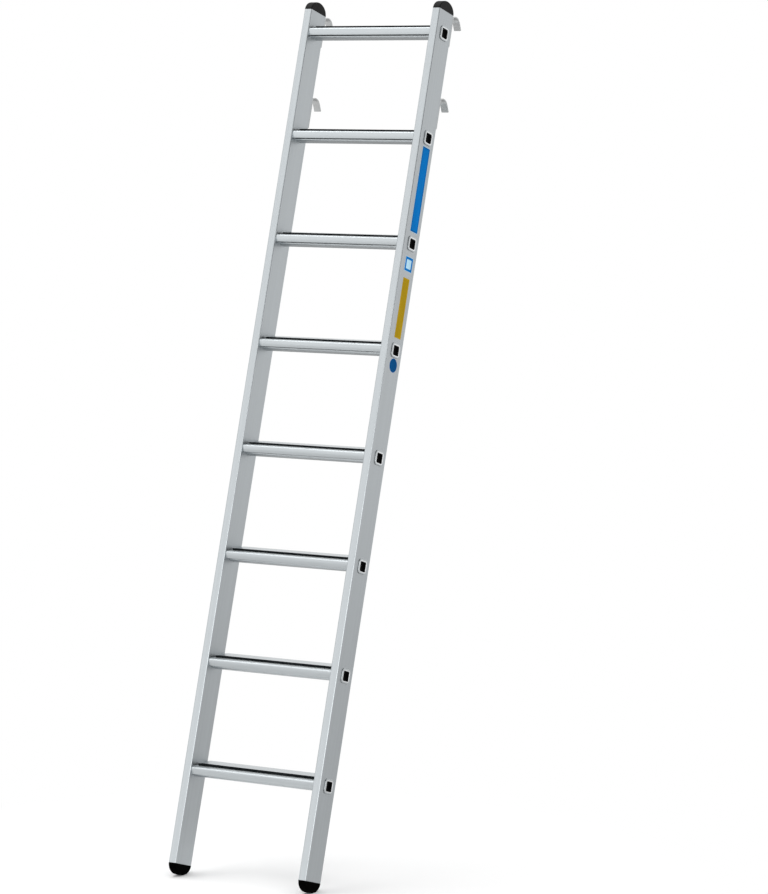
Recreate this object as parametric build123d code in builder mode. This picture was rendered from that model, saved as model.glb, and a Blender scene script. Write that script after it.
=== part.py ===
"""Shelf ladder in its working position, leaning back and hung by its upper hooks on a round rail.

Millimetres. X runs along the treads, Y towards the shelf and Z up. The origin is on the rail's axis,
midway between the stiles. Treads are numbered from the floor up.
"""

import os
from math import cos, radians, sin, tan

from build123d import *

# Working position
LEAN = 16.7  # degrees between the stiles and the vertical

# Stiles: rectangular hollow profile
STILE_WIDTH = 22.0
STILE_DEPTH = 74.0
STILE_WALL = 1.8
STILE_CORNER = 2.8
STILE_INNER_CORNER = 1.0
OUTER_WIDTH = 413.0

# Treads: spacing is measured along the stile, between the axes of the tread tubes
TREAD_COUNT = 8
TREAD_PITCH = 280.0
FIRST_TREAD = 240.5
TOP_TREAD_TO_END = 57.5
TREAD_DEPTH = 82.0
TREAD_NOSE_AHEAD = 35.0
TREAD_REAR_CORNER = 10.0
TREAD_LIP = 8.0
PLATE = 2.2
SKIRT = 3.6
SKIRT_HEIGHT = 19.0
SKIRT_BOW = 0.8
SKIRT_FOOT_RADIUS = 1.5
NOSE_RADIUS = 4.5
NOSE_LAND = 24.0
LAND_RISE = 0.3
CROWN_OVERLAP = 2.0

# Tread tube: square to the stile, goes through both stiles and is flanged on their outer faces
TUBE_BACK = 40.0
TUBE_DEPTH = 30.0
TUBE_HEIGHT = 28.0
TUBE_WALL = 2.0
TUBE_CORNER = 5.0
SLOT_CLEARANCE = 0.1
RIM_WIDTH = 5.0
RIM_HEIGHT = 2.4
RIM_ROUND = 1.7
BORE_FLARE = 1.4

# Plugs in the tube ends
PLUG_CLEARANCE = 0.1
PLUG_DEPTH = 12.0
PLUG_WALL = 2.0
PLUG_HOLLOW = 6.0
PLUG_RECESS = 1.6
PLUG_DISH = 1.2
PLUG_DISH_DIAMETER = 22.0
PLUG_PINCH = 1.4
PLUG_PINCH_RADIUS = 11.0
PLUG_PINCH_DEPTH = 3.0

# Anti-slip strips in the tread decks
STRIP_WIDTH = 17.0
STRIP_GROOVE = 3.2
STRIP_PROUD = 0.2
STRIP_CLEARANCE = 0.1
STRIP_END_GAP = 6.0
STRIP_RIBS = 4
STRIP_RIB_GAP = 1.6
STRIP_RIB_DEPTH = 0.8
STRIP_LEAD_RISE = 1.3

# Feet and top caps: one moulding, used at all four stile ends
CAP_HEIGHT = 27.5
CAP_EDGE = 2.5
CAP_SPIGOT = 28.0
CAP_SPIGOT_WALL = 2.4
CAP_CLEARANCE = 0.15

# Hooks: bent flat strip on the stiles' rear faces
RAIL_DIAMETER = 30.0
RAIL_PLAY = 0.3
HOOK_WIDTH = 20.0
HOOK_THICKNESS = 3.0
HOOK_ROOT_BEND = 3.0
HOOK_BEND = 22.0
HOOK_FLARE = 19.6
HOOK_REACH = 18.0
HOOK_DROP = 17.5
HOOK_LEG = 80.0
HOOK_BELOW_END = 1.5
HOOK_SPACING = 220.0
HOOK_TIP_CORNER = 1.0

# Blind rivets that hold the hooks
RIVET_SHANK = 4.8
RIVET_CLEARANCE = 0.05
RIVET_HEAD = 9.0
RIVET_HEAD_HEIGHT = 1.8
RIVET_HEAD_TAPER = 25.0  # degrees
RIVET_BULB = 7.0
RIVET_BULB_LENGTH = 5.0
RIVET_EDGE = 12.0
RIVET_SPACING = 26.0

# Plain stickers on the right stile's outer face, in the spaces between the tread rims
LABEL_THICKNESS = 0.2
LABEL_CORNER = 2.0
LABEL_WIDTH = 37.0
WIDE_LABEL_WIDTH = 31.0
SMALL_LABEL_LENGTH = 38.0
ROUND_LABEL_DIAMETER = 36.0
LONG_LABEL_ABOVE = 5.5
LONG_LABEL_BELOW = 11.0
SMALL_LABEL_ABOVE = 16.0
LABEL_SPACE = 17.5
WIDE_LABEL_BELOW = 13.0
ROUND_LABEL_ABOVE = 2.0
LONG_LABEL_TREAD = 7
SMALL_LABEL_TREAD = 6
ROUND_LABEL_TREAD = 5

# Derived sizes
STILE_LENGTH = FIRST_TREAD + (TREAD_COUNT - 1) * TREAD_PITCH + TOP_TREAD_TO_END
INNER_HALF = OUTER_WIDTH / 2 - STILE_WIDTH
STILE_X = OUTER_WIDTH / 2 - STILE_WIDTH / 2
ALONG = Vector(0, sin(radians(LEAN)), cos(radians(LEAN)))
BACK = Vector(0, cos(radians(LEAN)), -sin(radians(LEAN)))
RIGHT = Vector(1, 0, 0)
REARWARD = Vector(0, 1, 0)
RAIL_SEAT = RAIL_DIAMETER / 2 + RAIL_PLAY
STRIP_MID = RAIL_SEAT + HOOK_THICKNESS / 2
HOOK_TOP = RAIL_SEAT + HOOK_THICKNESS
HOOK_TOP_ALONG = HOOK_TOP * (1 - sin(radians(LEAN))) / cos(radians(LEAN))
HOOK_ROOT_ALONG = STRIP_MID * (1 - sin(radians(LEAN))) / cos(radians(LEAN))
RAIL_BACK = STILE_DEPTH + HOOK_TOP
RAIL_ALONG = STILE_LENGTH - HOOK_BELOW_END - HOOK_TOP_ALONG
BORE_DEPTH = TUBE_DEPTH - 2 * TUBE_WALL
BORE_HEIGHT = TUBE_HEIGHT - 2 * TUBE_WALL
BORE_CORNER = TUBE_CORNER - TUBE_WALL
RIM_HALF = TUBE_HEIGHT / 2 + RIM_WIDTH
RIM_SPACE = TREAD_PITCH - 2 * RIM_HALF
LONG_LABEL_LENGTH = RIM_SPACE - LONG_LABEL_ABOVE - LONG_LABEL_BELOW
WIDE_LABEL_ABOVE = SMALL_LABEL_ABOVE + SMALL_LABEL_LENGTH + LABEL_SPACE
WIDE_LABEL_LENGTH = RIM_SPACE - WIDE_LABEL_ABOVE - WIDE_LABEL_BELOW
SIDES = {"left": -1, "right": 1}
LEVELS = {"upper": 0.0, "lower": HOOK_SPACING}
EXTRA = 1.0  # how far a cutting shape runs past the face it cuts

os.makedirs("parts", exist_ok=True)


def place(x, back, along):
    """The point at x, so far behind the stiles' front faces and so far up from their lower ends."""
    return RIGHT * x + BACK * (back - RAIL_BACK) + ALONG * (along - RAIL_ALONG)


def tread_along(number):
    """How far up the stile a tread's tube axis is."""
    return FIRST_TREAD + (number - 1) * TREAD_PITCH


def across_stile(x, back, along, end=1):
    """Plane square to the stile: sketch in x and back, extrude up the stile, or down it for end -1."""
    return Plane(place(x, back, along), x_dir=RIGHT, z_dir=ALONG * end)


def beside_stile(x, back, along, side=1):
    """Plane along the stile's side: sketch in back and along, extrude to the right or left side."""
    return Plane(place(x, back, along), x_dir=BACK, z_dir=RIGHT * side)


def level_side(x, back, along):
    """Plane across the treads, level with the floor: sketch rearward and up, extrude to the right."""
    return Plane(place(x, back, along), x_dir=REARWARD, z_dir=RIGHT)


def save(builder, name):
    """Labels a finished piece and writes it."""
    builder.part.label = name
    export_step(builder.part, f"parts/{name}.step")


def hook_rivet_alongs(drop):
    """Heights of a hook's rivets up the stile, counted from the lower end of the hook's leg."""
    lower = RAIL_ALONG + HOOK_ROOT_ALONG - HOOK_LEG - drop + RIVET_EDGE
    return [lower, lower + RIVET_SPACING]


# Stiles
for side_name, side in SIDES.items():
    with BuildPart() as stile:
        with BuildSketch(across_stile(side * STILE_X, STILE_DEPTH / 2, 0)):
            RectangleRounded(STILE_WIDTH, STILE_DEPTH, STILE_CORNER)
            RectangleRounded(
                STILE_WIDTH - 2 * STILE_WALL,
                STILE_DEPTH - 2 * STILE_WALL,
                STILE_INNER_CORNER,
                mode=Mode.SUBTRACT,
            )
        extrude(amount=STILE_LENGTH)
        for number in range(1, TREAD_COUNT + 1):
            with BuildSketch(beside_stile(side * STILE_X, TUBE_BACK, tread_along(number))):
                RectangleRounded(
                    TUBE_DEPTH + 2 * SLOT_CLEARANCE,
                    TUBE_HEIGHT + 2 * SLOT_CLEARANCE,
                    TUBE_CORNER + SLOT_CLEARANCE,
                )
            extrude(amount=STILE_WIDTH / 2 + EXTRA, both=True, mode=Mode.SUBTRACT)
        for drop in LEVELS.values():
            for along in hook_rivet_alongs(drop):
                rear = place(side * STILE_X, STILE_DEPTH, along)
                with BuildSketch(Plane(rear, x_dir=RIGHT, z_dir=BACK * -1)):
                    Circle(RIVET_SHANK / 2 + RIVET_CLEARANCE)
                extrude(amount=STILE_WALL + EXTRA, mode=Mode.SUBTRACT)
    save(stile, f"{side_name}_stile")

# Tread profile: the deck's height comes from the tube's highest point, so that the deck lies on it
lean_cos = cos(radians(LEAN))
lean_sin = sin(radians(LEAN))
tube_crown = (
    (TUBE_DEPTH / 2 - TUBE_CORNER) * lean_sin
    + (TUBE_HEIGHT / 2 - TUBE_CORNER) * lean_cos
    + TUBE_CORNER
)
groove_floor = tube_crown - CROWN_OVERLAP + PLATE
land = groove_floor + LAND_RISE
deck = groove_floor + STRIP_GROOVE
nose = -TREAD_NOSE_AHEAD
rear_edge = nose + TREAD_DEPTH
groove_start = nose + NOSE_LAND
groove_end = groove_start + STRIP_WIDTH + 2 * STRIP_CLEARANCE
foot = land - SKIRT_HEIGHT
tube_turn = Location((0, 0, 0), (0, 0, -LEAN))
section_reach = TREAD_DEPTH + TUBE_DEPTH + TUBE_HEIGHT


def wall(start_y, start_z, end_y, end_z):
    """Adds a level rectangle of the profile from one corner to the other."""
    with Locations(((start_y + end_y) / 2, (start_z + end_z) / 2)):
        Rectangle(end_y - start_y, end_z - start_z)


for number in range(1, TREAD_COUNT + 1):
    axis_along = tread_along(number)
    with BuildPart() as tread:
        with BuildSketch(level_side(0, TUBE_BACK, axis_along)) as profile:
            # Tube, its rear wall carried up to the deck
            with Locations(tube_turn):
                RectangleRounded(TUBE_DEPTH, TUBE_HEIGHT, TUBE_CORNER)
                with Locations((TUBE_DEPTH / 2, 0)):
                    Rectangle(TUBE_WALL, section_reach, align=(Align.MAX, Align.MIN))
            with Locations((0, deck - PLATE)):
                Rectangle(
                    2 * section_reach,
                    section_reach,
                    align=(Align.CENTER, Align.MIN),
                    mode=Mode.SUBTRACT,
                )
            # Skirt with a bowed front, land, groove floor, step, rear of the deck and its lip
            with BuildLine():
                front = ThreePointArc(
                    (nose + SKIRT_BOW, foot), (nose, (foot + land) / 2), (nose + SKIRT_BOW, land)
                )
                Polyline(front @ 1, (nose + SKIRT, land), (nose + SKIRT, foot), front @ 0)
            make_face()
            wall(nose + SKIRT_BOW, land - PLATE, groove_start, land)
            wall(groove_start - PLATE, groove_floor - PLATE, groove_end + PLATE, groove_floor)
            wall(groove_end, groove_floor - PLATE, groove_end + PLATE, deck)
            wall(groove_end, deck - PLATE, rear_edge, deck)
            wall(rear_edge - PLATE, deck - TREAD_LIP, rear_edge, deck)
            for corner_z, radius in ((foot, SKIRT_FOOT_RADIUS), (land, NOSE_RADIUS)):
                corner = profile.vertices().sort_by_distance((nose + SKIRT_BOW, corner_z))[0]
                fillet(corner, radius)
            with Locations(tube_turn):
                RectangleRounded(BORE_DEPTH, BORE_HEIGHT, BORE_CORNER, mode=Mode.SUBTRACT)
        extrude(amount=INNER_HALF)
        # Rounded rear corner in plan
        deck_point = place(0, TUBE_BACK, axis_along) + Vector(0, 0, deck)
        with BuildSketch(Plane(deck_point)) as plan:
            with Locations((0, nose)):
                Rectangle(INNER_HALF, TREAD_DEPTH, align=(Align.MIN, Align.MIN))
            rear_right = plan.vertices().group_by(Axis.Y)[-1].sort_by(Axis.X)[-1]
            fillet(rear_right, TREAD_REAR_CORNER)
        extrude(amount=section_reach, both=True, mode=Mode.INTERSECT)
        # Tube through the stile, and its flanged rim
        with BuildSketch(beside_stile(INNER_HALF, TUBE_BACK, axis_along)):
            RectangleRounded(TUBE_DEPTH, TUBE_HEIGHT, TUBE_CORNER)
        extrude(amount=STILE_WIDTH)
        with BuildSketch(beside_stile(OUTER_WIDTH / 2, TUBE_BACK, axis_along)):
            RectangleRounded(
                TUBE_DEPTH + 2 * RIM_WIDTH, TUBE_HEIGHT + 2 * RIM_WIDTH, TUBE_CORNER + RIM_WIDTH
            )
        extrude(amount=RIM_HEIGHT)
        rim_face = tread.faces().sort_by(Axis.X)[-1]
        fillet(rim_face.outer_wire().edges(), RIM_ROUND)
        with BuildSketch(beside_stile(INNER_HALF, TUBE_BACK, axis_along)):
            RectangleRounded(BORE_DEPTH, BORE_HEIGHT, BORE_CORNER)
        extrude(amount=STILE_WIDTH + RIM_HEIGHT + EXTRA, mode=Mode.SUBTRACT)
        rim_face = tread.faces().sort_by(Axis.X)[-1]
        chamfer(rim_face.inner_wires()[0].edges(), BORE_FLARE)
        mirror(about=Plane.YZ)
    save(tread, f"tread_{number}")

    with BuildPart() as strip:
        with BuildSketch(level_side(0, TUBE_BACK, axis_along)) as strip_profile:
            strip_start = groove_start + STRIP_CLEARANCE
            strip_top = deck + STRIP_PROUD
            rib_pitch = STRIP_WIDTH / STRIP_RIBS
            wall(strip_start, groove_floor, strip_start + STRIP_WIDTH, strip_top)
            lead_end = strip_start + rib_pitch - STRIP_RIB_GAP / 2
            wall(strip_start, groove_floor, lead_end, strip_top + STRIP_LEAD_RISE)
            for rib in range(1, STRIP_RIBS):
                with Locations((strip_start + rib * rib_pitch, strip_top)):
                    Rectangle(
                        STRIP_RIB_GAP,
                        STRIP_RIB_DEPTH,
                        align=(Align.CENTER, Align.MAX),
                        mode=Mode.SUBTRACT,
                    )
        extrude(amount=INNER_HALF - STRIP_END_GAP, both=True)
    save(strip, f"tread_strip_{number}")

    for side_name, side in SIDES.items():
        face_x = side * (OUTER_WIDTH / 2 + RIM_HEIGHT - PLUG_RECESS)
        plug_depth = BORE_DEPTH - 2 * PLUG_CLEARANCE
        plug_height = BORE_HEIGHT - 2 * PLUG_CLEARANCE
        dish_radius = (PLUG_DISH_DIAMETER**2 / 4 + PLUG_DISH**2) / (2 * PLUG_DISH)
        with BuildPart() as plug:
            with BuildSketch(beside_stile(face_x, TUBE_BACK, axis_along, side)):
                RectangleRounded(plug_depth, plug_height, BORE_CORNER - PLUG_CLEARANCE)
            extrude(amount=-PLUG_DEPTH)
            # Hollow at the back, two pinched sides and a dished front
            with BuildSketch(beside_stile(face_x, TUBE_BACK, axis_along, side).offset(-PLUG_DEPTH)):
                Rectangle(plug_depth - 2 * PLUG_WALL, plug_height - 2 * PLUG_WALL)
            extrude(amount=PLUG_HOLLOW, mode=Mode.SUBTRACT)
            with BuildSketch(beside_stile(face_x, TUBE_BACK, axis_along, side)):
                pinch_centre = plug_depth / 2 + PLUG_PINCH_RADIUS - PLUG_PINCH
                with Locations((pinch_centre, 0), (-pinch_centre, 0)):
                    Circle(PLUG_PINCH_RADIUS)
            extrude(amount=-PLUG_PINCH_DEPTH, mode=Mode.SUBTRACT)
            with Locations(beside_stile(face_x, TUBE_BACK, axis_along, side).offset(dish_radius - PLUG_DISH)):
                Sphere(dish_radius, mode=Mode.SUBTRACT)
        save(plug, f"{side_name}_plug_{number}")

# Feet and top caps
for end_name, end, end_along in (("foot", -1, 0.0), ("top_cap", 1, STILE_LENGTH)):
    for side_name, side in SIDES.items():
        seat = across_stile(side * STILE_X, STILE_DEPTH / 2, end_along, end)
        with BuildPart() as cap:
            with BuildSketch(beside_stile(side * STILE_X, STILE_DEPTH / 2, end_along, end)):
                with BuildLine():
                    dome = EllipticalCenterArc((0, 0), STILE_DEPTH / 2, CAP_HEIGHT, 0, arc_size=180)
                    Line(dome @ 1, dome @ 0)
                make_face()
            extrude(amount=STILE_WIDTH / 2, both=True)
            fillet(cap.edges().filter_by(GeomType.ELLIPSE), CAP_EDGE)
            spigot_width = STILE_WIDTH - 2 * (STILE_WALL + CAP_CLEARANCE)
            spigot_depth = STILE_DEPTH - 2 * (STILE_WALL + CAP_CLEARANCE)
            with BuildSketch(seat):
                RectangleRounded(spigot_width, spigot_depth, STILE_INNER_CORNER)
                Rectangle(
                    spigot_width - 2 * CAP_SPIGOT_WALL,
                    spigot_depth - 2 * CAP_SPIGOT_WALL,
                    mode=Mode.SUBTRACT,
                )
            extrude(amount=-CAP_SPIGOT)
        save(cap, f"{side_name}_{end_name}")

# Hooks and their rivets
for level_name, drop in LEVELS.items():
    for side_name, side in SIDES.items():
        rail_point = place(side * STILE_X, RAIL_BACK, RAIL_ALONG - drop)
        flare_tan = tan(radians(HOOK_FLARE))
        outer_leg = HOOK_REACH + HOOK_THICKNESS / 2 / cos(radians(HOOK_FLARE))
        root = BACK * -STRIP_MID + ALONG * HOOK_ROOT_ALONG
        leg_end = root - ALONG * HOOK_LEG
        crest = Vector(0, outer_leg - STRIP_MID * flare_tan, STRIP_MID)
        tip = Vector(0, outer_leg + HOOK_DROP * flare_tan, -HOOK_DROP)
        with BuildPart() as hook:
            with BuildLine() as centre_line:
                FilletPolyline(
                    rail_point + leg_end,
                    rail_point + root,
                    rail_point + crest,
                    rail_point + tip,
                    radius=(HOOK_ROOT_BEND + HOOK_THICKNESS / 2, HOOK_BEND + HOOK_THICKNESS / 2),
                )
            with BuildSketch(Plane(rail_point + leg_end, x_dir=RIGHT, z_dir=ALONG)):
                Rectangle(HOOK_WIDTH, HOOK_THICKNESS)
            sweep(path=centre_line.line)
            ends = hook.faces().filter_by(GeomType.PLANE).sort_by(SortBy.AREA)[:2]
            fillet(ends.edges().sort_by(Edge.length)[:4], HOOK_TIP_CORNER)
            for along in hook_rivet_alongs(drop):
                rear = place(side * STILE_X, STILE_DEPTH, along)
                with BuildSketch(Plane(rear, x_dir=RIGHT, z_dir=BACK)):
                    Circle(RIVET_SHANK / 2 + RIVET_CLEARANCE)
                extrude(amount=HOOK_THICKNESS + EXTRA, mode=Mode.SUBTRACT)
        save(hook, f"{level_name}_{side_name}_hook")

        with BuildPart() as rivets:
            for along in hook_rivet_alongs(drop):
                centre = place(side * STILE_X, STILE_DEPTH, along)
                rivet_plane = Plane(centre, x_dir=RIGHT, z_dir=BACK)
                grip = HOOK_THICKNESS + STILE_WALL
                with BuildSketch(rivet_plane.offset(-STILE_WALL - RIVET_BULB_LENGTH)):
                    Circle(RIVET_BULB / 2)
                extrude(amount=RIVET_BULB_LENGTH)
                with BuildSketch(rivet_plane.offset(-STILE_WALL)):
                    Circle(RIVET_SHANK / 2)
                extrude(amount=grip)
                with BuildSketch(rivet_plane.offset(HOOK_THICKNESS)):
                    Circle(RIVET_HEAD / 2)
                extrude(amount=RIVET_HEAD_HEIGHT, taper=RIVET_HEAD_TAPER)
        save(rivets, f"{level_name}_{side_name}_hook_rivets")

# Stickers: each starts a space below a tread's rim
def below_rim(tread_number, space):
    """Plane on the right stile's outer face, so far below a tread's rim."""
    return beside_stile(OUTER_WIDTH / 2, TUBE_BACK, tread_along(tread_number) - RIM_HALF - space)


for name, width, length, tread_number, space in (
    ("long_label", LABEL_WIDTH, LONG_LABEL_LENGTH, LONG_LABEL_TREAD, LONG_LABEL_ABOVE),
    ("small_label", LABEL_WIDTH, SMALL_LABEL_LENGTH, SMALL_LABEL_TREAD, SMALL_LABEL_ABOVE),
    ("wide_label", WIDE_LABEL_WIDTH, WIDE_LABEL_LENGTH, SMALL_LABEL_TREAD, WIDE_LABEL_ABOVE),
):
    with BuildPart() as label:
        with BuildSketch(below_rim(tread_number, space)):
            RectangleRounded(width, length, LABEL_CORNER, align=(Align.CENTER, Align.MAX))
        extrude(amount=LABEL_THICKNESS)
    save(label, name)
with BuildPart() as round_label:
    with BuildSketch(below_rim(ROUND_LABEL_TREAD, ROUND_LABEL_ABOVE)):
        Circle(ROUND_LABEL_DIAMETER / 2, align=(Align.CENTER, Align.MAX))
    extrude(amount=LABEL_THICKNESS)
save(round_label, "round_label")
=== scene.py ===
"""Shelf ladder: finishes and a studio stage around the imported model."""

from math import cos, radians, sin

import bmesh
import bpy
from bpy.props import FloatProperty, FloatVectorProperty, PointerProperty
from bpy.types import Operator, Panel, PropertyGroup
from bpy.utils import register_class, unregister_class
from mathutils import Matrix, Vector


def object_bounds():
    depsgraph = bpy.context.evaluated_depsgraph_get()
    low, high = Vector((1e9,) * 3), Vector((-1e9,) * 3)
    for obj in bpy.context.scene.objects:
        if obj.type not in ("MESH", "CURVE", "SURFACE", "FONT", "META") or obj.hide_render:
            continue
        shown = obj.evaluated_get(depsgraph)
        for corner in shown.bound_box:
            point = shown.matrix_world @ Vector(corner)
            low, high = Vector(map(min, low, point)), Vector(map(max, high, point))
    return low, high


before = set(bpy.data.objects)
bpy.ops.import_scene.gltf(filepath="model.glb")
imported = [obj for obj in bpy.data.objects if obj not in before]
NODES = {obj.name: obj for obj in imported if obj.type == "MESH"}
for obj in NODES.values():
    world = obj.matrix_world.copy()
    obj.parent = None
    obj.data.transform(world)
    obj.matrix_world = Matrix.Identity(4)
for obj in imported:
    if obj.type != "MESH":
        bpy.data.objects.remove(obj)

bl_info = {
    "name": "Shelf ladder",
    "version": (1, 0, 0),
    "blender": (4, 5, 0),
    "location": "View3D > Sidebar > Ladder",
    "description": "Dresses a hook-on shelf ladder with its finishes and sets it on a studio floor",
    "category": "Object",
}

CAD_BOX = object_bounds()
LEAN = radians(16.7)
TREADS = range(1, 9)
SIDES = ("left", "right")
TURN = 6.28  # one full wave, in radians
RIPPLE_LENGTH = 0.0065  # metres between the ripples round a tube end
RIPPLE_REACH = (0.048, 0.022)  # metres from the tube's axis where the ripples end and where they are full
CORNER_HIGHLIGHT_BAND = (0.0026, 0.0012)  # metres inside a stile's corner where its painted highlight starts and is full
NOSE_AHEAD = (0.009, 0.012)  # metres ahead of the tube's axis where the painted highlight on the nose starts and is full
NOSE_ABOVE = (0.0125, 0.0155)  # metres above the tube's axis, in the same way
BORE_CORNER = 0.003  # metres, corner of a tube end
BORE_MOUTH = (0.0006, 0.0012)  # metres outside the bore where its painted dark mouth ends and the rim starts
RIM_CREST = (0.0038, 0.0026)  # metres outside the bore where the painted highlight ring ends and is full
RIM_SHADE = (0.0006, 0.0016)  # metres above the stile where the rim's painted shade at the foot ends
STICKER_CORNER = 0.002
ROUND_STICKER_CORNER = 0.05  # more than its radius, so that it is round
STICKER_SHINE = 0.01
FEET_BEHIND = 0.05  # metres from the model's front to the middle of its feet
SIDE_CARD_HALF = 1.2
SIDE_CARD_PLACE = (3.2, -0.4, 1.0)
LOW_CARD_HALF = 2.5
LOW_CARD_LIFT = 0.001
LOW_LEFT_PLACE = (-2.5, 2.6)
LOW_RIGHT_PLACE = (2.5, 1.8)
LOW_FRONT_PLACE = (-2.8, -4.3)
KEY_SIZE = (4.0, 6.0)
KEY_PLACE = (-3.6, -6.0, 0.9)
EDGE_SIZE = (3.2, 1.7)
EDGE_PLACE = (2.6, -3.9, -0.3)
TOP_SIZE = (4.5, 4.5)
TOP_PLACE = (-3.0, -1.0, 4.4)
REAR_SIZE = (4.0, 3.0)
REAR_PLACE = (-3.7, 5.5, 0.2)


def stile_box(name):
    """A node's lowest and highest corner in the stile's own axes: across, to the rear, along."""
    turn = Matrix.Rotation(LEAN, 3, "X")
    points = [turn @ vertex.co for vertex in NODES[name].data.vertices]
    low = [min(point[axis] for point in points) for axis in range(3)]
    high = [max(point[axis] for point in points) for axis in range(3)]
    return low, high


def stile_centre(name):
    """The middle of a node in the stile's own axes."""
    low, high = stile_box(name)
    return [(a + b) / 2 for a, b in zip(low, high)]


class Wire:
    """A shader socket that takes part in sums, and the one way to add a node to its tree."""

    def __init__(self, tree, socket=None):
        self.tree = tree
        self.socket = socket

    def node(self, kind, settings=None, inputs=None, out=0):
        """Adds a node: its settings first, then its sockets' values or links."""
        made = self.tree.nodes.new(kind)
        for name, value in (settings or {}).items():
            setattr(made, name, value)
        for name, value in (inputs or {}).items():
            if isinstance(value, Wire):
                self.tree.links.new(value.socket, made.inputs[name])
            else:
                made.inputs[name].default_value = value
        return Wire(self.tree, None if out is None else made.outputs[out])

    def other(self, name):
        """Another output of the node that this socket belongs to."""
        return Wire(self.tree, self.socket.node.outputs[name])

    def sum(self, operation, *values):
        return self.node("ShaderNodeMath", {"operation": operation}, dict(enumerate(values)))

    def __add__(self, other):
        return self.sum("ADD", self, other)

    def __radd__(self, other):
        return self.sum("ADD", other, self)

    def __sub__(self, other):
        return self.sum("SUBTRACT", self, other)

    def __rsub__(self, other):
        return self.sum("SUBTRACT", other, self)

    def __mul__(self, other):
        return self.sum("MULTIPLY", self, other)

    def __rmul__(self, other):
        return self.sum("MULTIPLY", other, self)

    def __truediv__(self, other):
        return self.sum("DIVIDE", self, other)

    def __abs__(self):
        return self.sum("ABSOLUTE", self)

    def limited(self, low, high):
        """This value spread so that low becomes 0 and high becomes 1, and held there."""
        return self.node("ShaderNodeMapRange", {}, {0: self, 1: low, 2: high, 3: 0.0, 4: 1.0})

    def between(self, first, second):
        """Mixes two colours by this value."""
        return self.node("ShaderNodeMix", {"data_type": "RGBA"}, {0: self, 6: first, 7: second}, out=2)


def rgba(colour, gain=1.0):
    """A colour with full alpha, made lighter or darker by a gain."""
    return tuple(min(1.0, c * gain) for c in colour[:3]) + (1.0,)


def new_material(name):
    """An empty material, with its surface shader and a wire to start from."""
    material = bpy.data.materials.new(name)
    material.use_nodes = True
    tree = material.node_tree
    return material, tree.nodes["Principled BSDF"], Wire(tree)


def link(wire, shader, name):
    wire.tree.links.new(wire.socket, shader.inputs[name])


def level(wire):
    """Object coordinates as they are."""
    return wire.node("ShaderNodeTexCoord", out=3)


def along_stile(wire, centre=(0.0, 0.0, 0.0)):
    """Object coordinates turned so that Y runs to the stile's rear and Z along it, from a centre."""
    return wire.node(
        "ShaderNodeMapping",
        {},
        {"Vector": level(wire), "Rotation": (LEAN, 0.0, 0.0), "Location": tuple(-c for c in centre)},
    )


def split(wire, place):
    """The three numbers of a place."""
    first = wire.node("ShaderNodeSeparateXYZ", {}, {0: place})
    return first, first.other("Y"), first.other("Z")


def stretched(wire, place, size, detail=3.0, roughness=0.5):
    """Noise whose grains have the given size in metres along X, Y and Z."""
    scaled = wire.node("ShaderNodeMapping", {}, {"Vector": place, "Scale": tuple(1.0 / s for s in size)})
    return wire.node(
        "ShaderNodeTexNoise",
        {},
        {"Vector": scaled, "Scale": 1.0, "Detail": detail, "Roughness": roughness},
    )


def bumped(wire, height, distance, strength):
    """A normal with the given height pattern."""
    return wire.node("ShaderNodeBump", {}, {"Height": height, "Distance": distance, "Strength": strength})


def round_box(wire, across, along, half, corner):
    """Distance in metres from the edge of a rounded rectangle, below zero inside it."""
    left = wire.sum("MAXIMUM", abs(across) - (half[0] - corner), 0.0)
    right = wire.sum("MAXIMUM", abs(along) - (half[1] - corner), 0.0)
    return wire.sum("SQRT", left * left + right * right) - corner


def die_lines(wire, place, fine, band, cloud):
    """The three patterns of an extruded face: fine lines, wider bands and soft handling marks."""
    return (
        stretched(wire, place, fine, detail=4.0, roughness=0.65) - 0.5,
        stretched(wire, place, band, detail=2.0) - 0.5,
        stretched(wire, place, cloud, detail=3.0, roughness=0.6) - 0.5,
    )


def from_tube(wire, place, first, pitch):
    """How far a place is from the nearest tread tube's axis, to the stile's rear and along it."""
    across, rear, along = split(wire, place)
    turn = wire.sum("FRACT", (along - first[2]) / pitch + 0.5)
    return across, rear - first[1], (turn - 0.5) * pitch


def stile_aluminium(colour, roughness):
    """Extruded profile: lines up the stile, a painted highlight along each corner, and faint ripples round
    each tube end, bumped and with painted shading in the colour.
    """
    material, shader, wire = new_material("stile_aluminium")
    place = along_stile(wire)
    lines, bands, marks = die_lines(
        wire, place, fine=(0.0009, 0.0009, 0.6), band=(0.006, 0.006, 1.5), cloud=(0.03, 0.03, 0.12)
    )
    first = stile_centre("right_plug_1")
    across, rear, along = from_tube(wire, place, first, stile_centre("right_plug_2")[2] - first[2])
    reach = wire.sum("SQRT", rear * rear + along * along) + marks * 0.012
    near = reach.limited(*RIPPLE_REACH)
    ripples = wire.sum("SINE", reach * (TURN / RIPPLE_LENGTH)) * near * near
    low, high = stile_box("right_stile")
    middle, half = stile_centre("right_stile"), [(b - a) / 2 for a, b in zip(low, high)]
    by_side = abs(abs(across) - middle[0]).limited(*(half[0] - inside for inside in CORNER_HIGHLIGHT_BAND))
    by_edge = abs(rear + (first[1] - middle[1])).limited(*(half[1] - inside for inside in CORNER_HIGHLIGHT_BAND))
    # Painted highlight: the base colour is made brighter along each corner, where the rounded edge catches
    # the light; the roughness is lowered there too.
    corner = by_side * by_edge
    # The ripples' share of the tone paints their shading into the base colour; the bump gives their shape.
    tone = lines * 0.45 + bands * 0.5 + marks * 0.35 + ripples * 0.12 + 0.5
    plain = tone.limited(0.2, 0.8).between(rgba(colour, 0.93), rgba(colour, 1.07))
    link(corner.between(plain, rgba(colour, 1.1)), shader, "Base Color")
    link(lines * 0.12 + marks * 0.16 - corner * 0.14 + roughness, shader, "Roughness")
    link(bumped(wire, lines + ripples * 1.6, 0.00006, 0.5), shader, "Normal")
    shader.inputs["Metallic"].default_value = 1.0
    return material


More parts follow.
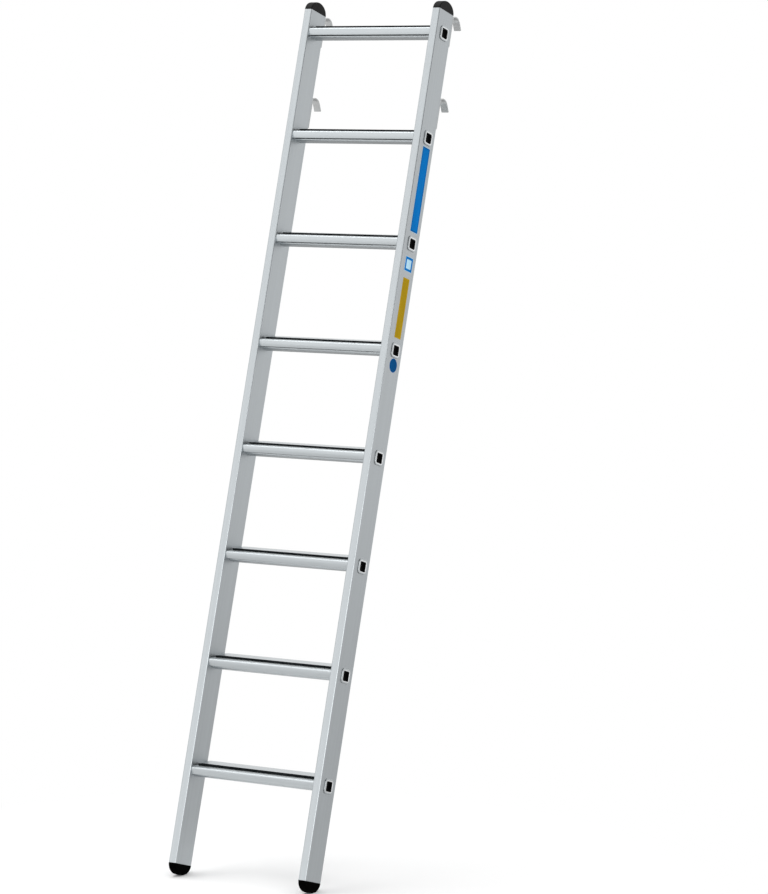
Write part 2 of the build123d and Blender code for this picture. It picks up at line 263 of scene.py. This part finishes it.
def tread_aluminium(colour, roughness, rim_highlight_colour, rim_shade_and_mouth_colour):
    """Extruded tread: lines along it, a painted highlight on the nose, and rims with a painted highlight
    ring, painted shade at the foot and a dark mouth in the bore, painted for the plug's lip and the shade in
    its flare.
    """
    material, shader, wire = new_material("tread_aluminium")
    place = level(wire)
    lines, bands, marks = die_lines(
        wire, place, fine=(0.3, 0.0009, 0.0009), band=(0.8, 0.006, 0.006), cloud=(0.1, 0.03, 0.03)
    )
    first = stile_centre("right_plug_1")
    pitch = stile_centre("right_plug_2")[2] - first[2]
    across, rear, along = from_tube(wire, along_stile(wire), first, pitch)
    low, high = stile_box("right_plug_1")
    bore = [(b - a) / 2 for a, b in zip(low, high)]
    width = round_box(wire, rear, along, (bore[1], bore[2]), BORE_CORNER)
    out = abs(across) - stile_box("right_stile")[1][0]
    rim = out.limited(-0.0003, -0.0001)
    ahead = -1.0 * (rear * cos(LEAN) + along * sin(LEAN))
    height = along * cos(LEAN) - rear * sin(LEAN)
    # Painted highlight: the nose's base colour is raised by a sixth where its rounded edge catches the
    # light.
    nose = ahead.limited(*NOSE_AHEAD) * height.limited(*NOSE_ABOVE)
    tone = lines * 0.45 + bands * 0.5 + marks * 0.3 + 0.5
    drawn = tone.limited(0.2, 0.8).between(rgba(colour, 0.93), rgba(colour, 1.07))
    plain = nose.between(drawn, rgba(colour, 1.16))
    # Painted highlight ring on each rim, with the bore's mouth painted dark for the plug's lip and the shade
    # in its flare.
    ring = width.limited(*BORE_MOUTH).between(rgba(rim_shade_and_mouth_colour, 0.1), rgba(rim_highlight_colour))
    crest = width.limited(*RIM_CREST).between(rgba(colour), ring)
    # Painted shade at the rim's foot, where it meets the stile.
    flange = out.limited(*RIM_SHADE).between(rgba(rim_shade_and_mouth_colour), crest)
    link(rim.between(plain, flange), shader, "Base Color")
    link(lines * 0.12 + marks * 0.16 - rim * 0.1 + nose * 0.1 + roughness, shader, "Roughness")
    link(bumped(wire, lines, 0.00006, 0.5), shader, "Normal")
    shader.inputs["Metallic"].default_value = 1.0
    return material


def moulded_plastic(name, colour, roughness, shine, grain, depth):
    """Moulded black plastic: fine grain and a faint lighter bloom."""
    material, shader, wire = new_material(name)
    place = level(wire)
    pebble = stretched(wire, place, (grain,) * 3, detail=2.0)
    bloom = stretched(wire, place, (0.02,) * 3, detail=3.0)
    link(bloom.limited(0.35, 0.75).between(rgba(colour), rgba(colour, 1.6)), shader, "Base Color")
    link((bloom - 0.5) * 0.2 + (pebble - 0.5) * 0.1 + roughness, shader, "Roughness")
    link(bumped(wire, pebble, depth, 0.5), shader, "Normal")
    shader.inputs["Specular IOR Level"].default_value = shine
    return material


def ribbed_rubber(name, colour, roughness, shine):
    """Black anti-slip rubber: grit, and a dusty bloom along the ribs."""
    material, shader, wire = new_material(name)
    place = level(wire)
    grit = stretched(wire, place, (0.0006,) * 3, detail=2.0)
    dust = stretched(wire, place, (0.05, 0.004, 0.01), detail=3.0)
    link(dust.limited(0.45, 0.8).between(rgba(colour), rgba(colour, 2.2)), shader, "Base Color")
    link((grit - 0.5) * 0.15 + (dust - 0.5) * 0.15 + roughness, shader, "Roughness")
    link(bumped(wire, grit, 0.0002, 0.6), shader, "Normal")
    shader.inputs["Specular IOR Level"].default_value = shine
    return material


def plated_steel(name, colour, roughness):
    """Zinc-plated strip: soft spangle and short rolling lines."""
    material, shader, wire = new_material(name)
    place = along_stile(wire)
    flakes = wire.node("ShaderNodeTexVoronoi", {}, {"Vector": place, "Scale": 260.0}, out=1)
    spangle = wire.node("ShaderNodeRGBToBW", {}, {0: flakes})
    lines = stretched(wire, place, (0.0006, 0.01, 0.02), detail=3.0)
    tone = (spangle - 0.5) * 0.35 + (lines - 0.5) * 0.4 + 0.5
    link(tone.limited(0.2, 0.8).between(rgba(colour, 0.88), rgba(colour, 1.08)), shader, "Base Color")
    link((spangle - 0.5) * 0.12 + (lines - 0.5) * 0.1 + roughness, shader, "Roughness")
    link(bumped(wire, lines, 0.00005, 0.4), shader, "Normal")
    shader.inputs["Metallic"].default_value = 1.0
    return material


def sticker_film(name, colour, panel_colour, edge_colour, margin, corner, shine):
    """Printed film for one sticker: a plain field with a plain panel, a thin pale edge and a soft fade."""
    material, shader, wire = new_material(name)
    low, high = stile_box(name)
    centre = [(a + b) / 2 for a, b in zip(low, high)]
    place = along_stile(wire, centre)
    _, across, along = split(wire, place)
    half = ((high[1] - low[1]) / 2, (high[2] - low[2]) / 2)
    inset = (half[0] - margin[0], half[1] - margin[1])
    panel = round_box(wire, across, along, inset, min(corner, *inset)).limited(0.0002, -0.0002)
    border = round_box(wire, across, along, half, min(corner, *half)).limited(-0.0009, -0.0005)
    fade = stretched(wire, place, (0.05, 0.03, 0.08), detail=3.0)
    dents = stretched(wire, place, (0.006,) * 3, detail=2.0)
    field = fade.limited(0.3, 0.75).between(rgba(colour, 0.9), rgba(colour, 1.12))
    inner = fade.limited(0.3, 0.75).between(rgba(panel_colour, 0.92), rgba(panel_colour, 1.08))
    link(border.between(panel.between(field, inner), rgba(edge_colour)), shader, "Base Color")
    link((fade - 0.5) * 0.15 + (dents - 0.5) * 0.08 + 0.4, shader, "Roughness")
    link(bumped(wire, dents, 0.0001, 0.25), shader, "Normal")
    shader.inputs["Specular IOR Level"].default_value = shine
    return material


def dress(material, *names):
    """Gives CAD nodes their finish."""
    for name in names:
        slots = NODES[name].data.materials
        slots.clear()
        slots.append(material)


class LadderFinish(PropertyGroup):
    """Colours and gloss of the ladder's materials."""

    stile_colour: FloatVectorProperty(
        name="Stile colour", description="Satin aluminium of the stiles", subtype="COLOR",
        default=(0.435, 0.462, 0.478),
    )
    tread_colour: FloatVectorProperty(
        name="Tread colour", description="Satin aluminium of the treads", subtype="COLOR",
        default=(0.47, 0.50, 0.515),
    )
    # Painted highlight ring on each rim.
    rim_highlight_colour: FloatVectorProperty(
        name="Rim colour", description="Bright flanged rims of the tread tubes", subtype="COLOR",
        default=(0.82, 0.84, 0.85),
    )
    # Painted shade at each rim's foot; a tenth of it paints the bore's mouth for the plug's lip and its
    # shade.
    rim_shade_and_mouth_colour: FloatVectorProperty(
        name="Groove colour", description="Where a rim meets the stile, and darker in its bore",
        subtype="COLOR", default=(0.10, 0.105, 0.11),
    )
    aluminium_roughness: FloatProperty(
        name="Aluminium roughness", description="How dull the aluminium is", subtype="FACTOR",
        min=0.0, max=1.0, default=0.36,
    )
    strip_colour: FloatVectorProperty(
        name="Strip colour", description="Anti-slip strips", subtype="COLOR", default=(0.009, 0.0105, 0.0115)
    )
    cap_colour: FloatVectorProperty(
        name="Cap colour", description="Top caps", subtype="COLOR", default=(0.005, 0.005, 0.005)
    )
    # Painted shade: the feet's black is made darker than the caps' for their place low by the floor.
    shaded_foot_colour: FloatVectorProperty(
        name="Foot colour", description="Feet, blacker and duller than the caps", subtype="COLOR",
        default=(0.0007, 0.0007, 0.0007),
    )
    plug_colour: FloatVectorProperty(
        name="Plug colour", description="Plugs in the tread tubes", subtype="COLOR",
        default=(0.0005, 0.0005, 0.0006),
    )
    hook_colour: FloatVectorProperty(
        name="Hook colour", description="Plated strip hooks", subtype="COLOR", default=(0.52, 0.53, 0.53)
    )
    rivet_colour: FloatVectorProperty(
        name="Rivet colour", description="Blind rivets", subtype="COLOR", default=(0.5, 0.5, 0.51)
    )
    blue_colour: FloatVectorProperty(
        name="Blue film", description="Field of the long and small stickers", subtype="COLOR",
        default=(0.0015, 0.145, 0.45),
    )
    deep_blue_colour: FloatVectorProperty(
        name="Deep blue film", description="Round sticker", subtype="COLOR", default=(0.0008, 0.053, 0.168)
    )
    yellow_colour: FloatVectorProperty(
        name="Yellow film", description="Wide sticker", subtype="COLOR", default=(0.42, 0.272, 0.0085)
    )
    pale_colour: FloatVectorProperty(
        name="Pale film", description="Plain panel of the small sticker", subtype="COLOR",
        default=(0.42, 0.66, 0.8),
    )


class StudioStage(PropertyGroup):
    """Camera, lamps and floor."""

    lens: FloatProperty(
        name="Lens", description="Camera's focal length in millimetres", subtype="DISTANCE_CAMERA",
        default=146.195,
    )
    camera_place: FloatVectorProperty(
        name="Camera place", description="Where the camera stands", subtype="XYZ", unit="LENGTH",
        default=(4.97243, -8.19976, -0.12981),
    )
    camera_turn: FloatVectorProperty(
        name="Camera turn", description="The camera's turn about X, Y and Z", subtype="EULER",
        default=(radians(84.13721), radians(-0.04215), radians(31.29896)),
    )
    floor_colour: FloatVectorProperty(
        name="Floor colour", description="Plain pale floor", subtype="COLOR", default=(0.94, 0.94, 0.94)
    )
    floor_size: FloatProperty(
        name="Floor size", description="Length of the floor's sides", unit="LENGTH", default=40.0
    )
    clear_start: FloatProperty(
        name="Plain from", description="Distance from the feet where the floor starts to turn white",
        unit="LENGTH", default=0.3,
    )
    clear_end: FloatProperty(
        name="White from", description="Distance from the feet where the floor is plain white",
        unit="LENGTH", default=1.2,
    )
    surround: FloatProperty(
        name="Surround", description="Strength of the soft light from all round", default=0.93
    )
    key_power: FloatProperty(
        name="Key light", description="Power of the tall lamp at the front left", subtype="POWER",
        default=44.0,
    )
    top_power: FloatProperty(
        name="Top light", description="Power of the lamp above on the left", subtype="POWER", default=120.0
    )
    edge_power: FloatProperty(
        name="Edge light", description="Power of the small lamp in front that draws the stiles' corners",
        subtype="POWER", default=30.0,
    )
    rear_power: FloatProperty(
        name="Rear light", description="Power of the lamp behind on the left", subtype="POWER", default=6.0
    )
    side_grey: FloatProperty(
        name="Side card", description="Brightness of the dim card on the right", subtype="FACTOR",
        min=0.0, max=1.0, default=0.1,
    )
    low_left_grey: FloatProperty(
        name="Low left card", description="Brightness of the dim card on the floor behind on the left",
        subtype="FACTOR", min=0.0, max=1.0, default=0.52,
    )
    low_front_grey: FloatProperty(
        name="Low front card", description="Brightness of the dim card on the floor in front on the left",
        subtype="FACTOR", min=0.0, max=1.0, default=0.87,
    )
    low_right_grey: FloatProperty(
        name="Low right card", description="Brightness of the dim card on the floor behind on the right",
        subtype="FACTOR", min=0.0, max=1.0, default=0.75,
    )


class LADDER_OT_stiles(Operator):
    """Gives the stiles their satin aluminium, with die lines that run up the profile"""

    bl_idname = "ladder.stiles"
    bl_label = "Finish stiles"

    def execute(self, context):
        finish = context.scene.ladder_finish
        dress(stile_aluminium(finish.stile_colour, finish.aluminium_roughness), "left_stile", "right_stile")
        return {"FINISHED"}


class LADDER_OT_treads(Operator):
    """Gives the treads their satin aluminium, with die lines that run along the tread"""

    bl_idname = "ladder.treads"
    bl_label = "Finish treads"

    def execute(self, context):
        finish = context.scene.ladder_finish
        material = tread_aluminium(
            finish.tread_colour, finish.aluminium_roughness, finish.rim_highlight_colour, finish.rim_shade_and_mouth_colour
        )
        dress(material, *(f"tread_{n}" for n in TREADS))
        return {"FINISHED"}


class LADDER_OT_strips(Operator):
    """Gives the anti-slip strips their black rubber"""

    bl_idname = "ladder.strips"
    bl_label = "Finish strips"

    def execute(self, context):
        finish = context.scene.ladder_finish
        material = ribbed_rubber("strip_rubber", finish.strip_colour, roughness=0.85, shine=0.0)
        dress(material, *(f"tread_strip_{n}" for n in TREADS))
        return {"FINISHED"}


class LADDER_OT_caps(Operator):
    """Gives the feet and top caps their black moulded plastic"""

    bl_idname = "ladder.caps"
    bl_label = "Finish feet and caps"

    def execute(self, context):
        finish = context.scene.ladder_finish
        cap = moulded_plastic(
            "cap_plastic", finish.cap_colour, roughness=0.5, shine=0.1, grain=0.0007, depth=0.00015
        )
        # The feet take the caps' plastic with painted shade in a darker colour, and a duller finish.
        foot = moulded_plastic(
            "foot_plastic", finish.shaded_foot_colour, roughness=0.7, shine=0.006, grain=0.0009, depth=0.0002
        )
        for side in SIDES:
            dress(cap, f"{side}_top_cap")
            dress(foot, f"{side}_foot")
        return {"FINISHED"}


class LADDER_OT_plugs(Operator):
    """Gives the plugs their glossy black plastic"""

    bl_idname = "ladder.plugs"
    bl_label = "Finish plugs"

    def execute(self, context):
        finish = context.scene.ladder_finish
        material = moulded_plastic(
            "plug_plastic", finish.plug_colour, roughness=0.2, shine=0.005, grain=0.002, depth=0.00008
        )
        dress(material, *(f"{side}_plug_{n}" for side in SIDES for n in TREADS))
        return {"FINISHED"}


class LADDER_OT_hooks(Operator):
    """Gives the strip hooks and their rivets their plated metal"""

    bl_idname = "ladder.hooks"
    bl_label = "Finish hooks and rivets"

    def execute(self, context):
        finish = context.scene.ladder_finish
        places = [f"{height}_{side}_hook" for height in ("upper", "lower") for side in SIDES]
        dress(plated_steel("hook_steel", finish.hook_colour, roughness=0.4), *places)
        rivets = [f"{place}_rivets" for place in places]
        dress(plated_steel("rivet_metal", finish.rivet_colour, roughness=0.32), *rivets)
        return {"FINISHED"}


class LADDER_OT_stickers(Operator):
    """Gives the plain stickers their printed film"""

    bl_idname = "ladder.stickers"
    bl_label = "Finish stickers"

    def execute(self, context):
        finish = context.scene.ladder_finish
        blue, pale = finish.blue_colour, finish.pale_colour
        deep, yellow = finish.deep_blue_colour, finish.yellow_colour
        films = (
            sticker_film(
                "long_label", [c * 0.7 for c in blue], [c * 1.05 for c in blue], pale,
                (0.0045, 0.0045), STICKER_CORNER, STICKER_SHINE,
            ),
            sticker_film("small_label", blue, pale, pale, (0.007, 0.007), STICKER_CORNER, STICKER_SHINE),
            sticker_film(
                "wide_label", yellow, [c * 0.85 for c in yellow], yellow,
                (0.003, 0.003), STICKER_CORNER, STICKER_SHINE,
            ),
            sticker_film(
                "round_label", deep, [c * 1.2 for c in deep], blue,
                (0.003, 0.003), ROUND_STICKER_CORNER, STICKER_SHINE,
            ),
        )
        for film in films:
            dress(film, film.name)
        return {"FINISHED"}


class LADDER_OT_stage(Operator):
    """Sets the ladder on a pale floor under soft lamps, with the camera in place"""

    bl_idname = "ladder.stage"
    bl_label = "Set the stage"

    def execute(self, context):
        scene, stage = context.scene, context.scene.ladder_stage
        low, high = CAD_BOX
        middle = (low + high) / 2
        self.add_floor(scene, stage, low)
        self.add_world(scene, stage)
        upright = Matrix.Rotation(radians(90), 4, "Y")
        turn = Matrix.Translation(SIDE_CARD_PLACE) @ upright
        self.add_card(scene, "side_card", stage.side_grey, SIDE_CARD_HALF, turn)
        for name, grey, across, rear in (
            ("left", stage.low_left_grey, *LOW_LEFT_PLACE),
            ("right", stage.low_right_grey, *LOW_RIGHT_PLACE),
            ("front", stage.low_front_grey, *LOW_FRONT_PLACE),
        ):
            turn = Matrix.Translation((across, rear, low.z + LOW_CARD_LIFT))
            self.add_card(scene, f"low_{name}_card", grey, LOW_CARD_HALF, turn)
        self.add_lamp(scene, "key_lamp", stage.key_power, KEY_SIZE, KEY_PLACE, middle)
        self.add_lamp(scene, "edge_lamp", stage.edge_power, EDGE_SIZE, EDGE_PLACE, middle)
        self.add_lamp(scene, "top_lamp", stage.top_power, TOP_SIZE, TOP_PLACE, middle)
        self.add_lamp(scene, "rear_lamp", stage.rear_power, REAR_SIZE, REAR_PLACE, middle)
        camera = bpy.data.objects.new("camera", bpy.data.cameras.new("camera"))
        scene.collection.objects.link(camera)
        camera.data.lens = stage.lens
        camera.location = stage.camera_place
        camera.rotation_euler = stage.camera_turn
        scene.camera = camera
        scene.view_settings.view_transform = "Standard"
        return {"FINISHED"}

    def add_sheet(self, scene, name, half, turn):
        """A flat square of the stage."""
        mesh = bpy.data.meshes.new(name)
        shape = bmesh.new()
        bmesh.ops.create_grid(shape, x_segments=1, y_segments=1, size=half, matrix=turn)
        shape.to_mesh(mesh)
        shape.free()
        sheet = bpy.data.objects.new(name, mesh)
        scene.collection.objects.link(sheet)
        return sheet

    def add_floor(self, scene, stage, low):
        """A square floor that keeps the shadow by the feet and is plain white further off."""
        floor = self.add_sheet(scene, "floor", stage.floor_size / 2, Matrix.Translation((0.0, 0.0, low.z)))
        material = bpy.data.materials.new("floor")
        material.use_nodes = True
        tree = material.node_tree
        tree.nodes.clear()
        wire = Wire(tree)
        offset = wire.node(
            "ShaderNodeVectorMath",
            {"operation": "SUBTRACT"},
            {0: level(wire), 1: (0.0, low.y + FEET_BEHIND, low.z)},
        )
        reach = wire.node("ShaderNodeVectorMath", {"operation": "LENGTH"}, {0: offset}, out=1)
        grain = stretched(wire, level(wire), (0.3,) * 3)
        matt = wire.node(
            "ShaderNodeBsdfDiffuse",
            {},
            {0: grain.between(rgba(stage.floor_colour, 0.99), rgba(stage.floor_colour, 1.01))},
        )
        plain = wire.node("ShaderNodeEmission", {}, {0: (1.0, 1.0, 1.0, 1.0), 1: 1.0})
        share = reach.limited(stage.clear_start, stage.clear_end) * self.seen(wire)
        mixed = wire.node("ShaderNodeMixShader", {}, {0: share, 1: matt, 2: plain})
        wire.node("ShaderNodeOutputMaterial", {}, {"Surface": mixed}, out=None)
        floor.data.materials.append(material)

    def seen(self, wire):
        """One for the rays that show the backdrop: straight, mirrored or through glass."""
        ray = wire.node("ShaderNodeLightPath")
        return (ray + ray.other("Is Glossy Ray") + ray.other("Is Transmission Ray")).limited(0.0, 1.0)

    def add_world(self, scene, stage):
        """White where the camera and reflections look, softer as light."""
        world = bpy.data.worlds.new("studio")
        world.use_nodes = True
        wire = Wire(world.node_tree)
        strength = self.seen(wire) * (1.0 - stage.surround) + stage.surround
        background = world.node_tree.nodes["Background"]
        background.inputs["Color"].default_value = (1.0, 1.0, 1.0, 1.0)
        world.node_tree.links.new(strength.socket, background.inputs["Strength"])
        scene.world = world

    def add_card(self, scene, name, brightness, half, turn):
        """A dim card that only reflections show, for darker edges and undersides on the metal."""
        card = self.add_sheet(scene, name, half, turn)
        for ray in ("camera", "diffuse", "transmission", "volume_scatter", "shadow"):
            setattr(card, "visible_" + ray, False)
        material = bpy.data.materials.new(name)
        material.use_nodes = True
        tree = material.node_tree
        tree.nodes.clear()
        wire = Wire(tree)
        grey = wire.node("ShaderNodeEmission", {}, {0: (1.0, 1.0, 1.0, 1.0), 1: brightness})
        wire.node("ShaderNodeOutputMaterial", {}, {"Surface": grey}, out=None)
        card.data.materials.append(material)

    def add_lamp(self, scene, name, power, size, place, target):
        """A large lamp that looks at the target."""
        data = bpy.data.lights.new(name, "AREA")
        data.energy = power
        data.shape = "RECTANGLE"
        data.size, data.size_y = size
        lamp = bpy.data.objects.new(name, data)
        scene.collection.objects.link(lamp)
        lamp.location = place
        lamp.visible_camera = False
        lamp.rotation_euler = (lamp.location - target).to_track_quat("Z", "Y").to_euler()


STEPS = (
    LADDER_OT_stiles,
    LADDER_OT_treads,
    LADDER_OT_strips,
    LADDER_OT_caps,
    LADDER_OT_plugs,
    LADDER_OT_hooks,
    LADDER_OT_stickers,
    LADDER_OT_stage,
)


class LADDER_PT_panel(Panel):
    """Lists the ladder's steps"""

    bl_idname = "LADDER_PT_panel"
    bl_label = "Shelf ladder"
    bl_space_type = "VIEW_3D"
    bl_region_type = "UI"
    bl_category = "Ladder"

    def draw(self, context):
        for step in STEPS:
            self.layout.operator(step.bl_idname)
        for group in (context.scene.ladder_finish, context.scene.ladder_stage):
            for name in group.bl_rna.properties.keys():
                if name not in ("rna_type", "name"):
                    self.layout.prop(group, name)


CLASSES = (LadderFinish, StudioStage, *STEPS, LADDER_PT_panel)


def register():
    for item in CLASSES:
        register_class(item)
    bpy.types.Scene.ladder_finish = PointerProperty(type=LadderFinish)
    bpy.types.Scene.ladder_stage = PointerProperty(type=StudioStage)


def unregister():
    del bpy.types.Scene.ladder_stage
    del bpy.types.Scene.ladder_finish
    for item in reversed(CLASSES):
        unregister_class(item)


def main():
    register()
    bpy.ops.ladder.stiles()
    bpy.ops.ladder.treads()
    bpy.ops.ladder.strips()
    bpy.ops.ladder.caps()
    bpy.ops.ladder.plugs()
    bpy.ops.ladder.hooks()
    bpy.ops.ladder.stickers()
    bpy.ops.ladder.stage()


if __name__ == "__main__":
    main()
